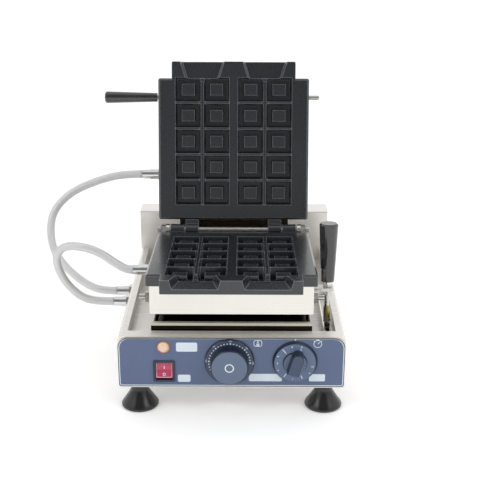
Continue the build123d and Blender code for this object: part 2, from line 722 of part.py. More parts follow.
def lift_nuts():
    """Nuts above and below the bracket, and the ferrule under the grip."""
    pieces = []
    levels = ((-LIFT_TAB_N + 4, -LIFT_TAB_N + 9), (-LIFT_TAB_N - 6, -LIFT_TAB_N), (-LIFT_FOOT_N + 2, -LIFT_FOOT_N + 6))
    for low, high in levels:
        outline = RegularPolygon(5, 6, major_radius=False, rotation=30) - Circle(LIFT_ROD_RADIUS)
        pieces.append(Pos(LIFT_X, -LIFT_S, low) * extrude(outline, high - low))
    return Compound(pieces)


def lift_ferrule():
    outline = Circle(6.2) - Circle(LIFT_ROD_RADIUS)
    return Pos(LIFT_X, -LIFT_S, -LIFT_GRIP_BOTTOM - 3) * extrude(outline, 3)


def lift_grip():
    """Tapered grip with a rounded top, a socket below for the rod."""
    low = -LIFT_GRIP_BOTTOM
    high = -LIFT_GRIP_TOP
    thin, thick = LIFT_GRIP_THIN, LIFT_GRIP_THICK
    line = Polyline((0, low), (thin, low), (thick, high - 2), (thick - 2, high), (0, high), close=True)
    grip = Pos(LIFT_X, -LIFT_S, 0) * revolve(Plane.XZ * make_face(line), Axis.Z)
    return grip - bar_z(LIFT_ROD_RADIUS, low - 1, low + 30, LIFT_X, -LIFT_S)


def lift_bush():
    """Brass sleeve locked on the rod above its foot."""
    low = -LIFT_FOOT_N + 6
    bush = extrude(Circle(4.2) - Circle(LIFT_ROD_RADIUS), 16)
    return Pos(LIFT_X, -LIFT_S, low) * chamfer(bush.edges().group_by(Axis.Z)[-1], 0.4)


def handle_rod():
    """Steel rod across the upper iron, through both sides of its housing."""
    rod = bar_x(HANDLE_ROD_RADIUS, -GRIP_START - 40, HANDLE_RIGHT, -HANDLE_S, HANDLE_N)
    return chamfer(rod.edges().group_by(Axis.X)[-1], 1.0)


def handle_grip():
    """Tapered grip on the rod's left end."""
    thin, thick = GRIP_THIN, GRIP_THICK
    line = Polyline(
        (-GRIP_START, 0), (-GRIP_START, thin), (-HANDLE_LEFT + 2, thick), (-HANDLE_LEFT, thick - 2), (-HANDLE_LEFT, 0),
        close=True,
    )
    grip = revolve(make_face(line), Axis.X)
    grip = Pos(0, -HANDLE_S, HANDLE_N) * grip
    return grip - bar_x(HANDLE_ROD_RADIUS, -GRIP_START - 40, -GRIP_START + 1, -HANDLE_S, HANDLE_N)


def upper_housing():
    cover = mirror(housing(), about=Plane.XY)
    cover -= bar_x(HANDLE_ROD_RADIUS, -BASE_WIDTH, BASE_WIDTH, -HANDLE_S, HANDLE_N)
    return cover - hose_fitting(UPPER_FITTING_S, True, True)


def lower_housing():
    return housing() - hose_fitting(LOWER_FITTING_S, False, True)


def hose(route, name):
    """A conduit along its route, with arcs as large as the runs allow."""
    points = [Vector(*p) for p in route]
    radii = []
    for a, b, c in zip(points, points[1:], points[2:]):
        turn = (b - a).get_angle(c - b)
        shorter = min((b - a).length, (c - b).length)
        radii.append(0.45 * shorter / math.tan(math.radians(turn) / 2))
    print(name, "radii", [round(r) for r in radii])
    path = FilletPolyline(*points, radius=radii)
    place = Plane(origin=points[0], z_dir=points[1] - points[0])
    tube = sweep(place * Circle(HOSE_DIAMETER / 2), path=path)
    section = math.pi * (HOSE_DIAMETER / 2) ** 2
    print(name, "length", round(path.length, 1), "volume share", round(tube.volume / (section * path.length), 4))
    return tube


def main():
    os.makedirs("parts", exist_ok=True)
    nodes = {
        "base_shell": base_shell(),
        "bottom_cover": bottom_cover(),
        "rear_box": rear_box(),
        "front_panel": front_panel(),
        "rubber_feet": feet(),
        "drip_tray": drip_tray(),
        "axle_brackets": axle_brackets(),
        "axle_pin": axle_pin(),
        "axle_nuts": axle_nuts(),
        "slot_wall": slot_wall(),
        "rod_rest": rod_rest(),
        "rocker_frame": rocker_frame(),
        "rocker": rocker(),
        "lamp_bezel": lamp_bezel(),
        "lamp_lens": lamp_lens(),
        "thermostat_body": thermostat_body(),
        "timer_body": timer_body(),
        "thermostat_knob": thermostat_knob(),
        "timer_knob": timer_knob(),
        "terminal_block": terminal_block(),
        "base_glands": base_glands(),
        "mains_gland": mains_gland(),
        "lower_plate": in_lower(waffle_plate(LOWER_PLATE_REAR)),
        "lower_ribs": in_lower(ribs()),
        "lower_knobs": in_lower(knobs()),
        "lower_knuckles": in_lower(Compound(knuckles(LOWER_KNUCKLE, LOWER_PLATE_REAR, False))),
        "lower_housing": in_lower(lower_housing()),
        "lower_element": in_lower(element()),
        "lower_sensor": in_lower(sensor()),
        "lower_gland": in_lower(hose_fitting(LOWER_FITTING_S, False, False)),
        "lower_screws": in_lower(housing_screws(False)),
        "side_studs": in_lower(Compound(stop_bolts())),
        "lift_bracket": in_lower(lift_bracket()),
        "lift_rod": in_lower(lift_rod()),
        "lift_nuts": in_lower(lift_nuts()),
        "lift_ferrule": in_lower(lift_ferrule()),
        "lift_grip": in_lower(lift_grip()),
        "lift_bush": in_lower(lift_bush()),
        "upper_plate": in_upper(mirror(waffle_plate(UPPER_PLATE_REAR), about=Plane.XY)),
        "upper_ribs": in_upper(mirror(ribs(), about=Plane.XY)),
        "upper_knobs": in_upper(mirror(knobs(), about=Plane.XY)),
        "upper_knuckles": in_upper(Compound(knuckles(UPPER_KNUCKLE, UPPER_PLATE_REAR, True))),
        "upper_housing": in_upper(upper_housing()),
        "upper_element": in_upper(mirror(element(), about=Plane.XY)),
        "upper_sensor": in_upper(mirror(sensor(), about=Plane.XY)),
        "upper_gland": in_upper(hose_fitting(UPPER_FITTING_S, True, False)),
        "upper_screws": in_upper(housing_screws(True)),
        "handle_rod": in_upper(handle_rod()),
        "handle_grip": in_upper(handle_grip()),
        "upper_hose": hose(UPPER_HOSE, "upper_hose"),
        "lower_hose": hose(LOWER_HOSE, "lower_hose"),
    }
    for name, piece in nodes.items():
        export_step(Pos(-X_MIDDLE, -Y_MIDDLE, -FOOT_BOTTOM) * piece, f"parts/{name}.step")


main()
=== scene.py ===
import bmesh
import bpy
import math
from mathutils import Matrix, Vector


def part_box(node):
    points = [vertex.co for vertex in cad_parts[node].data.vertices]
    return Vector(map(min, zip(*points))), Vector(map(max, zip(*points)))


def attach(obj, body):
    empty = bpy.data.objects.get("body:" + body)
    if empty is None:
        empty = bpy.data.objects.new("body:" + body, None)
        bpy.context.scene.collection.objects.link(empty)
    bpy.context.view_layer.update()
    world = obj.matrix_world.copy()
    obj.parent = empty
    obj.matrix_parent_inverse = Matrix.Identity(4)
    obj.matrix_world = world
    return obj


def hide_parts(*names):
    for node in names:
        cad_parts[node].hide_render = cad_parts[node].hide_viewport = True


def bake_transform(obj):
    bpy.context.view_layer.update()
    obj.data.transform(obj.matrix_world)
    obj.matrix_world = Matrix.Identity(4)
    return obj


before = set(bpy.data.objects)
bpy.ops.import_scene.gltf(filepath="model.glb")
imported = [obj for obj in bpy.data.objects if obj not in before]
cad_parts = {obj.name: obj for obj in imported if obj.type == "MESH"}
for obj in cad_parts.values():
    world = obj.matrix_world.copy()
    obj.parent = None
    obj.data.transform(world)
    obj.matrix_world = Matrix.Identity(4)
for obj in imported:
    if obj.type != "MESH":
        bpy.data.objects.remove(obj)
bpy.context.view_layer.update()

# Base: one tray of folded 1.5 mm stainless sheet with a bottom cover, and a box behind for the wiring.
# The sheet is brushed lengthways, so it shows a soft grain along x and blurs what it mirrors.
# Its metallic value is 0.4 and not steel's usual 1, set to come nearer to the real pale tone.


def colour(code):
    """An sRGB hex code as a linear colour."""
    values = [int(code[i:i + 2], 16) / 255 for i in (0, 2, 4)]
    return [v / 12.92 if v <= 0.04045 else ((v + 0.055) / 1.055) ** 2.4 for v in values] + [1.0]


def add(tree, kind, settings=(), **inputs):
    """A new node with its settings, its inputs named, or numbered after an underscore."""
    made = tree.nodes.new(kind)
    for name, value in dict(settings).items():
        setattr(made, name, value)
    for name, value in inputs.items():
        socket = made.inputs[int(name[1:])] if name[0] == "_" else made.inputs[name.replace("_", " ")]
        if isinstance(value, bpy.types.NodeSocket):
            tree.links.new(value, socket)
        else:
            socket.default_value = value
    return made


coat_gloss = 0.12
cloud_scale = 14.0
grain_depth = 0.0002


def material(name, dark, light, grain_mm, gloss, metallic=0.0, ior=1.5, coat=0.0, relief=0.04,
             stretch=(1, 1, 1)):
    """A material with a grain of a real size in its colour, its gloss and its surface."""
    made = bpy.data.materials.new(name)
    made.use_nodes = True
    tree = made.node_tree
    shader = tree.nodes["Principled BSDF"]
    shader.inputs["Metallic"].default_value = metallic
    shader.inputs["IOR"].default_value = ior
    shader.inputs["Coat Weight"].default_value = coat
    shader.inputs["Coat Roughness"].default_value = coat_gloss
    where = add(tree, "ShaderNodeTexCoord").outputs["Object"]
    spread = add(tree, "ShaderNodeMapping", Vector=where, Scale=stretch)
    fine = add(tree, "ShaderNodeTexNoise", Vector=spread.outputs["Vector"], Scale=1000 / grain_mm,
               Detail=6.0)
    broad = add(tree, "ShaderNodeTexNoise", Vector=where, Scale=cloud_scale, Detail=3.0)
    mottle = add(tree, "ShaderNodeMath", {"operation": "MULTIPLY"}, _0=fine.outputs["Fac"],
                 _1=broad.outputs["Fac"])
    tone = add(tree, "ShaderNodeMapRange", Value=mottle.outputs["Value"], From_Min=0.12, From_Max=0.42)
    mix = add(tree, "ShaderNodeMix", {"data_type": "RGBA"}, _0=tone.outputs["Result"], _6=colour(dark),
              _7=colour(light))
    tree.links.new(mix.outputs[2], shader.inputs["Base Color"])
    rough = add(tree, "ShaderNodeMapRange", Value=fine.outputs["Fac"], From_Min=0.3, From_Max=0.7,
                To_Min=gloss[0], To_Max=gloss[1])
    tree.links.new(rough.outputs["Result"], shader.inputs["Roughness"])
    bump = add(tree, "ShaderNodeBump", Height=fine.outputs["Fac"], Strength=relief,
               Distance=grain_depth)
    tree.links.new(bump.outputs["Normal"], shader.inputs["Normal"])
    return made


def beyond(made, axis, place, side):
    """A mask that is one past a place on an axis, on the side of 1 or -1."""
    tree = made.node_tree
    where = add(tree, "ShaderNodeSeparateXYZ", Vector=add(tree, "ShaderNodeTexCoord").outputs["Object"])
    operation = "GREATER_THAN" if side > 0 else "LESS_THAN"
    past = add(tree, "ShaderNodeMath", {"operation": operation}, _0=where.outputs[axis], _1=place)
    return past.outputs["Value"]


facing_limit = 0.9


def facing(made, way):
    """A mask that is one where a surface faces a way."""
    tree = made.node_tree
    normal = add(tree, "ShaderNodeNewGeometry").outputs["Normal"]
    turned = add(tree, "ShaderNodeVectorMath", {"operation": "DOT_PRODUCT"}, _0=normal, _1=way)
    square_on = add(tree, "ShaderNodeMath", {"operation": "GREATER_THAN"}, _0=turned.outputs["Value"],
                    _1=facing_limit)
    return square_on.outputs["Value"]


def overlap(made, *masks):
    """A mask that is one where all of several masks are."""
    shared = masks[0]
    for mask in masks[1:]:
        meet = add(made.node_tree, "ShaderNodeMath", {"operation": "MULTIPLY"}, _0=shared, _1=mask)
        shared = meet.outputs["Value"]
    return shared


def cover(made, mask, code, metallic):
    """Gives a material a second colour and metal where a mask is one."""
    tree = made.node_tree
    shader = tree.nodes["Principled BSDF"]
    under = shader.inputs["Base Color"].links[0].from_socket
    mix = add(tree, "ShaderNodeMix", {"data_type": "RGBA"}, _0=mask, _6=under, _7=colour(code))
    tree.links.new(mix.outputs[2], shader.inputs["Base Color"])
    metal = add(tree, "ShaderNodeMapRange", Value=mask, To_Min=shader.inputs["Metallic"].default_value,
                To_Max=metallic)
    tree.links.new(metal.outputs["Result"], shader.inputs["Metallic"])


def dress(finish, *names):
    """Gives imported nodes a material."""
    for name in names:
        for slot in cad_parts[name].material_slots:
            slot.material = finish


brushed = (0.02, 1.0, 1.0)
forwards = (0.0, -1.0, 0.0)
shell_sheet = material("Brushed stainless shell", "ece8e2", "f3f0eb", 1.1, (0.22, 0.28), 0.4, relief=0.01,
                       stretch=brushed)
dress(shell_sheet, "base_shell", "bottom_cover")
box_sheet = material("Brushed stainless box", "eeebe5", "f4f2ee", 1.1, (0.18, 0.24), 0.4, relief=0.01,
                     stretch=brushed)

# The box's front is painted dark brown behind the hinge as a painted reflection of the dark irons, from 7 mm
# inside one knuckle's end to 7 mm inside the other's.
knuckles_low, knuckles_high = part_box("lower_knuckles")
painted_reflection_inset = 0.007
painted_reflection_mask = overlap(box_sheet, beyond(box_sheet, "X", knuckles_low[0] + painted_reflection_inset, 1),
                beyond(box_sheet, "X", knuckles_high[0] - painted_reflection_inset, -1), facing(box_sheet, forwards))
# Painted reflection: between the knuckles the forward face turns dark brown and fully metallic.
cover(box_sheet, painted_reflection_mask, "4a4236", 1.0)
dress(box_sheet, "rear_box")

# Feet: four moulded rubber bells, screwed under the base, a narrow neck above a wide rolled foot.
# The rubber is smooth from its mould, so the lamps draw two pale bands on each cone.
# SHIFT goes from the panel's own frame, x 0 in its middle and y 0 on its face, to the row's frame.
SHIFT = Vector((0.022, -0.1705, 0.005))
rubber = material("Moulded black rubber", "111112", "1b1b1d", 1.7, (0.16, 0.24), ior=1.6, relief=0.03)
foot_profile = ((0, 32.5), (10.6, 32.5), (10.8, 25), (12.4, 20.5), (16.6, 14), (20.8, 7.8), (23, 4.6),
                (23.6, 3), (23.4, 1.4), (22.4, 0.4), (20.5, 0), (0, 0))
foot_steps = 56
feet_across, feet_back, feet_ground = (-116.0, 116.0), (18.5, 322.0), -5.0
sharp_degrees = 50


def soften(bm, limit):
    """Smooth shading, with the edges sharper than a limit in degrees kept."""
    for face in bm.faces:
        face.smooth = True
    for edge in bm.edges:
        edge.smooth = len(edge.link_faces) == 2 and edge.calc_face_angle(0.0) < math.radians(limit)


def piece(bm, name, finish, body):
    """Makes a mesh a piece that rides on a body."""
    bmesh.ops.recalc_face_normals(bm, faces=bm.faces)
    mesh = bpy.data.meshes.new(name)
    bm.to_mesh(mesh)
    bm.free()
    made = bpy.data.objects.new(name, mesh)
    bpy.context.scene.collection.objects.link(made)
    mesh.materials.append(finish)
    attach(made, body)
    return made


bm = bmesh.new()
for across in feet_across:
    for back in feet_back:
        middle = Vector((across, back, feet_ground)) * 0.001 + SHIFT
        line = [bm.verts.new(middle + Vector((x, 0.0, z)) * 0.001) for x, z in foot_profile]
        links = [bm.edges.new(pair) for pair in zip(line, line[1:])]
        bmesh.ops.spin(bm, geom=line + links, cent=middle, axis=(0.0, 0.0, 1.0), angle=2 * math.pi,
                       steps=foot_steps, use_merge=True)
bmesh.ops.remove_doubles(bm, verts=bm.verts, dist=0.00001)
soften(bm, sharp_degrees)
feet = piece(bm, "feet", rubber, "base")
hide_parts("rubber_feet")

# Drip tray: a polished stainless tray under the lower iron, its rim rolled over at the front.
# Its walls are painted dark brown as a painted reflection of the dark gap under the housing. Only the rolled
# rim is bright, at a metallic value of 0.4.
# Painted reflection: the tray's own colour is a near-black brown, for the dark gap that it mirrors.
painted_dark_tray = material("Stainless sheet with painted dark reflection", "241f1a", "3a3228", 2.8, (0.06, 0.12), 1.0, relief=0.02,
                  stretch=(0.03, 1.0, 1.0))
rim_height = 0.0035
cover(painted_dark_tray, beyond(painted_dark_tray, "Z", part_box("drip_tray")[1][2] - rim_height, 1), "f4efe2", 0.4)
dress(painted_dark_tray, "drip_tray")

# Hinge: a ground steel axle through cast knuckles and two bent sheet brackets, held by zinc-plated nuts.
# The bar has a fine round-the-bar grind, and the zinc is dull and cloudy.
bar = material("Ground steel bar", "a9a8a5", "c9c8c5", 1.2, (0.22, 0.4), 1.0, relief=0.12,
               stretch=(0.1, 1.0, 1.0))
zinc = material("Zinc-plated steel", "aeb0ae", "d6d5cf", 5.5, (0.2, 0.36), 1.0, relief=0.08)
sheet = material("Satin stainless sheet", "dad7d1", "e3e0db", 1.1, (0.14, 0.24), 1.0, relief=0.02,
                 stretch=brushed)
polished = material("Mirror-polished stainless sheet", "e5e2dc", "edeae5", 1.7, (0.03, 0.07), 1.0,
                    relief=0.01, stretch=brushed)
dress(bar, "axle_pin")
dress(zinc, "axle_nuts")
dress(sheet, "axle_brackets")
dress(polished, "slot_wall")

# Control panel: a steel plate under a blue-grey printed foil, satin, with large round corners above.
# The print is pale ink 0.06 mm thick: a border, bare label plates, a heat symbol and a stopwatch.
# Beyond the foil's corners the bare steel shows. A thin dark line round the plate is painted shadow of the
# gap at its edge, and it shows only faintly.
foil = material("Printed blue-grey panel foil", "5d6c8d", "647496", 1.4, (0.36, 0.48), relief=0.05)
plate_low, plate_high = (Vector(corner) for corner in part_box("front_panel"))
corner_radius = 0.0135
edge_line = 0.0002
tree = foil.node_tree
distance = add(tree, "ShaderNodeTexCoord").outputs["Object"]
plate_middle = (plate_low.x + plate_high.x) / 2
arc_centre = (plate_high.x - plate_middle - corner_radius, 0.0, plate_high.z - corner_radius)
none = (0.0, 0.0, 0.0)
for operation, value in (("SUBTRACT", (plate_middle, 0.0, 0.0)), ("ABSOLUTE", none), ("SUBTRACT", arc_centre),
                         ("MULTIPLY", (1.0, 0.0, 1.0)), ("MAXIMUM", none), ("LENGTH", none)):
    step = add(tree, "ShaderNodeVectorMath", {"operation": operation}, _0=distance, _1=value)
    distance = step.outputs["Value" if operation == "LENGTH" else "Vector"]
bare = add(tree, "ShaderNodeMath", {"operation": "GREATER_THAN"}, _0=distance,
           _1=corner_radius - edge_line)
cover(foil, bare.outputs["Value"], "d9d6d0", 1.0)
dress(foil, "front_panel")

ink = material("Pale screen-print ink", "e4f2ff", "f0f9ff", 2.0, (0.42, 0.56), relief=0.05)
# Painted shadow: a matte near-black for the dark line in the gap round the panel.
painted_gap_shadow = material("Black painted gap shadow", "151518", "202024", 2.0, (0.5, 0.6), relief=0.05)
print_depth = 0.00006


def spot(x, y, z, turn=0.0):
    """A place in the panel's frame in millimetres, facing forwards, turned anticlockwise by radians."""
    place = Matrix.Translation(Vector((x, y, z)) * 0.001 + SHIFT)
    return place @ Matrix.Rotation(-turn, 4, "Y") @ Matrix.Rotation(math.pi / 2, 4, "X")


def dot(bm, place, radius):
    """A printed dot, and its one face."""
    made = bmesh.ops.create_circle(bm, cap_ends=True, segments=32, radius=radius * 0.001, matrix=place)
    return list(made["verts"][0].link_faces)


def patch(bm, place, width, height, corners=()):
    """A printed bar or plate, its four corners cut by (size, segments) from the lower left, row by row."""
    before = set(bm.faces)
    size = Matrix.Diagonal((width * 0.001, height * 0.001, 1.0, 1.0))
    points = bmesh.ops.create_grid(bm, x_segments=1, y_segments=1, size=0.5, matrix=place @ size)["verts"]
    for point, (cut, segments) in zip(points, corners):
        bmesh.ops.bevel(bm, geom=[point], offset=cut * 0.001, offset_type="OFFSET", segments=segments,
                        profile=0.5, affect="VERTICES", material=-1)
    return [face for face in bm.faces if face not in before]


def outline(bm, faces, line):
    """Keeps only a line of a width along the edge of a printed shape, and gives the line's inner points."""
    bmesh.ops.inset_individual(bm, faces=faces, thickness=line * 0.001)
    inner = [point for face in faces for point in face.verts]
    bmesh.ops.delete(bm, geom=faces, context="FACES_ONLY")
    return inner


def printed(bm, name, body, paint):
    """Gives a drawing its thickness and makes it a piece."""
    bmesh.ops.solidify(bm, geom=bm.faces[:], thickness=print_depth)
    piece(bm, name, paint, body)


panel_width, panel_height, panel_z = 277.6, 64.6, 63.0
gap_shadow_y, gap_shadow_grow, gap_shadow_line = -0.08, 1.6, 1.0
print_y, border_shrink, border_line = -0.15, 0.4, 1.1
round_above, round_below = (13.5, 10), (3.4, 5)
panel_corners = (round_below, round_below, round_above, round_above)
# A thin near-black outline just outside the plate's edge, as painted shadow of the gap.
bm = bmesh.new()
outline(bm, patch(bm, spot(0.0, gap_shadow_y, panel_z), panel_width + gap_shadow_grow, panel_height + gap_shadow_grow,
                  panel_corners), gap_shadow_line)
printed(bm, "panel_gap_shadow", "base", painted_gap_shadow)

# The border is thinner along its top, so its inner edge is drawn a little higher.
bm = bmesh.new()
inner = outline(bm, patch(bm, spot(0.0, print_y, panel_z), panel_width - border_shrink,
                          panel_height - border_shrink, panel_corners), border_line)
stretch_up = 1.013
inner_low = min(point.co.z for point in inner)
for point in inner:
    point.co.z = inner_low + (point.co.z - inner_low) * stretch_up
dot(bm, spot(78.3, print_y, 94.0), 0.9)
plain = ((2.0, 5),) * 4
cut_high_right = ((1.6, 5), (1.6, 5), (1.6, 5), (2.8, 1))
cut_high_left = ((1.6, 5), (1.6, 5), (2.8, 1), (1.6, 5))
for x, z, width, height, corners in ((-54.85, 83.85, 26.1, 12.3, plain), (-58.5, 41.15, 15.6, 9.9, plain),
                                     (42.05, 42.5, 40.9, 10.2, cut_high_right),
                                     (106.0, 42.5, 19.8, 10.0, cut_high_left)):
    patch(bm, spot(x, print_y, z), width, height, corners)
outline(bm, patch(bm, spot(32.4, print_y, 89.2), 10.6, 8.8, ((3.0, 6),) * 4), 0.8)
dot(bm, spot(32.4, print_y, 87.6), 2.0)
patch(bm, spot(32.4, print_y, 90.0), 1.6, 4.2, ((0.5, 3),) * 4)
outline(bm, dot(bm, spot(105.7, print_y, 88.6), 5.2), 0.8)
patch(bm, spot(105.7, print_y, 94.1), 3.6, 1.0)
patch(bm, spot(101.2, print_y, 92.6, math.radians(-38)), 1.7, 0.8)
patch(bm, spot(110.2, print_y, 92.6, math.radians(38)), 1.7, 0.8)
patch(bm, spot(106.8, print_y, 89.8, math.radians(46)), 3.6, 0.8)
printed(bm, "panel_print", "base", ink)

# Mains switch: a red polycarbonate rocker in a snapped-in polyamide frame, glossy from the mould.
# The on and off marks and a pale line round the face are pad-printed on its two halves.
red = material("Red polycarbonate", "c03c5f", "d04c6c", 4.0, (0.22, 0.34), ior=1.58, coat=0.3)
frame_plastic = material("Blue-grey polyamide", "28313f", "323d50", 1.4, (0.36, 0.5), relief=0.08)
dress(red, "rocker")
dress(frame_plastic, "rocker_frame")
rest_tilt, reach, half_height = math.radians(10), 8.0, 10.1
fall = half_height * math.sin(rest_tilt)
face_lean = math.atan2(fall, half_height)
pivot_place = Vector((-83.0, 7.0, 51.2)) * 0.001 + SHIFT
pivot = Matrix.Translation(pivot_place) @ Matrix.Rotation(-rest_tilt, 4, "X")
ridge = pivot @ Matrix.Translation((0.0, (fall - reach - 0.03) * 0.001, 0.0))
bm = bmesh.new()
for side in (1, -1):
    face = ridge @ Matrix.Rotation(side * face_lean, 4, "X") @ Matrix.Rotation(math.pi / 2, 4, "X")
    for across in (-9.3, 9.3):
        patch(bm, face @ Matrix.Translation((across * 0.001, side * 0.0047, 0.0)), 0.4, 8.6)
    if side > 0:
        patch(bm, face @ Matrix.Translation((0.0, 0.0032, 0.0)), 1.0, 4.0)
    else:
        patch(bm, face @ Matrix.Translation((0.0, -0.0092, 0.0)), 18.2, 0.5)
        outline(bm, dot(bm, face @ Matrix.Translation((0.0, -0.0056, 0.0)), 1.9), 0.7)
printed(bm, "rocker_marks", "switch_rocker", ink)

# Signal lamp: a domed polycarbonate lens, pale over its reflector, in an orange plated bezel.
# The dome is glossy and clouded a little. The bezel's metallic value is 0.6.
lens_plastic = material("Orange polycarbonate lens", "f4cfac", "fae3cf", 5.0, (0.12, 0.22), ior=1.58,
                        coat=0.4)
bezel_metal = material("Orange-plated bezel", "cf7f47", "e39a66", 5.0, (0.14, 0.26), 0.6)
dress(lens_plastic, "lamp_lens")
dress(bezel_metal, "lamp_bezel")

# Thermostat: a moulded phenolic dial with a tall cap, navy at its sides and blue-grey on its lacquered faces.
# The heat scale is printed on the rim, a dot for every step and a number at every fifth, and turns with it.
cap_front = SHIFT.y - 0.01
knob_edge = 0.0009


def knob(name, side_dark, side_light, face_code, front_code):
    """Navy phenolic with a lacquered face, and another tone on the part that stands forwards."""
    made = material(name, side_dark, side_light, 1.4, (0.3, 0.42), relief=0.06)
    face = facing(made, forwards)
    cover(made, face, face_code, 0.0)
    cover(made, overlap(made, beyond(made, "Y", cap_front, -1), face), front_code, 0.0)
    shader = made.node_tree.nodes["Principled BSDF"]
    grain = shader.inputs["Normal"].links[0].from_socket
    rounded = add(made.node_tree, "ShaderNodeBevel", {"samples": 8}, Radius=knob_edge, Normal=grain)
    made.node_tree.links.new(rounded.outputs["Normal"], shader.inputs["Normal"])
    return made


def numeral(bm, text, height, place):
    """A printed number with its middle at a place."""
    letters = bpy.data.curves.new("numeral", "FONT")
    letters.body = text
    letters.size = height * 0.001
    letters.align_x = "CENTER"
    letters.align_y = "CENTER"
    letters.resolution_u = 3
    holder = bpy.data.objects.new("numeral", letters)
    flat_letters = bpy.data.meshes.new_from_object(holder)
    flat_letters.transform(place)
    bm.from_mesh(flat_letters)
    bpy.data.objects.remove(holder)


def around(centre, y, angle, reach, upright=False):
    """A place at an angle in degrees and a reach from a knob's centre, turned with the angle."""
    turn = math.radians(angle)
    spin = turn - math.pi / 2 if upright else turn
    return spot(centre[0] + reach * math.cos(turn), y, centre[1] + reach * math.sin(turn), spin)


dress(knob("Dark blue phenolic", "101a2e", "16223c", "43516a", "66768f"), "thermostat_knob")
dial, dial_face, cap_face = (-2.3, 64.6), -3.55, -19.05
first_angle, step_angle, dots_reach, numbers_reach = 176.1, 8.87, 25.4, 28.7
large_dot, small_dot = 1.1, 0.85
bm = bmesh.new()
for step in range(-3, 21):
    angle = first_angle - step_angle * step
    fifth = step % 5 == 0
    dot(bm, around(dial, dial_face, angle, dots_reach), large_dot if fifth else small_dot)
    if fifth:
        numeral(bm, str(100 + 10 * step), 2.6, around(dial, dial_face, angle, numbers_reach, True))
patch(bm, around(dial, dial_face, 217, dots_reach, True), 2.4, 0.8)
dot(bm, around(dial, dial_face, 265.7, 27.7), large_dot)
outline(bm, dot(bm, spot(dial[0], cap_face, dial[1]), 5.7), 1.4)
printed(bm, "heat_scale", "thermostat_dial", ink)

# Timer: a moulded phenolic knob with a bar grip on a wide skirt, of the same plastic as the dial.
# The time scale on the skirt has long and short ticks and three numbers, and turns with the knob.
# Each tick has its own angle and its own near and far reach from the knob's middle.
dress(knob("Blue phenolic", "1d2637", "283348", "667896", "42516c"), "timer_knob")
timer, skirt_face = (78.2, 64.6), -4.55
bm = bmesh.new()
for angle, near, far in ((70, 21.8, 24.4), (100.5, 21.0, 23.6), (130, 17.2, 24.4), (156.5, 21.8, 24.2),
                         (205.5, 22.0, 23.6), (234, 18.0, 23.2), (263, 21.4, 22.4), (294, 18.6, 23.0),
                         (323, 22.0, 23.6)):
    patch(bm, around(timer, skirt_face, angle, (near + far) / 2), far - near, 1.0)
for text, angle, reach_out in (("0", 69, 19.4), ("5", 181, 21.6), ("10", 347, 21.6)):
    place = around(timer, skirt_face, angle, reach_out)
    numeral(bm, text, 4.2, Matrix.Translation(place.translation) @ Matrix.Rotation(math.pi / 2, 4, "X"))
printed(bm, "time_scale", "timer_dial", ink)

# Waffle irons: two thick aluminium castings with ribs and knobs, under a satin black non-stick coat.
# The coat has a fine sprayed grain, and every edge has a painted highlight in a paler grey.
cast = material("Non-stick coated cast aluminium", "191b1f", "222529", 1.4, (0.24, 0.34), ior=1.65,
                coat=0.3, relief=0.02)
edge_highlight_reach = 0.001
tree = cast.node_tree
# Painted highlight: where the rounded normal bends away from the true one, the edge turns a paler grey.
rounded = add(tree, "ShaderNodeBevel", {"samples": 8}, Radius=edge_highlight_reach)
bend = add(tree, "ShaderNodeVectorMath", {"operation": "DOT_PRODUCT"}, _0=rounded.outputs["Normal"],
           _1=add(tree, "ShaderNodeNewGeometry").outputs["Normal"])
painted_edge_highlight = add(tree, "ShaderNodeMapRange", Value=bend.outputs["Value"], From_Min=0.985, From_Max=0.9)
cover(cast, painted_edge_highlight.outputs["Result"], "8f959c", 0.0)
dress(cast, "lower_plate", "upper_plate", "lower_ribs", "upper_ribs", "lower_knobs", "upper_knobs",
      "lower_knuckles", "upper_knuckles")

# Housings: a folded satin stainless box behind each plate, screwed on, with the hairpin element inside.
# The element's steel tube is oxidised grey-brown, and the thermostat's sensor lies beside it.
dress(sheet, "lower_housing", "upper_housing")
dress(zinc, "lower_screws", "upper_screws")
heater = material("Oxidised steel tube", "5a5450", "7c746e", 2.8, (0.4, 0.6), 1.0, relief=0.2)
dress(heater, "lower_element", "upper_element", "lower_sensor", "upper_sensor")

# Lift gear and grips: a zinc-plated rod and bracket in a dull brass bush, and turned black phenolic grips.
# The phenolic is buffed, so it shows sharp streaks of light along its length.
dress(zinc, "side_studs", "lift_bracket", "lift_rod", "lift_nuts")
dress(bar, "handle_rod")
brass = material("Dull brass", "8d8555", "b9b07c", 3.3, (0.3, 0.5), 1.0, relief=0.15)
dress(brass, "lift_bush")
phenolic = material("Buffed black phenolic", "232324", "313132", 2.8, (0.08, 0.2), ior=1.6, coat=0.5,
                    relief=0.05, stretch=(1.0, 1.0, 0.3))
dress(phenolic, "lift_grip", "handle_grip")
dress(rubber, "rod_rest")

# Inside and behind: the control bodies and the mains gland are black polyamide, the terminal block ceramic.
# They are moulded with a fine even stipple.
polyamide = material("Black polyamide", "18191b", "26272a", 1.0, (0.42, 0.6), relief=0.2)
dress(polyamide, "thermostat_body", "timer_body", "mains_gland")
ceramic = material("White ceramic", "d0ccc2", "e2dfd6", 2.0, (0.32, 0.5), relief=0.1)
dress(ceramic, "terminal_block")
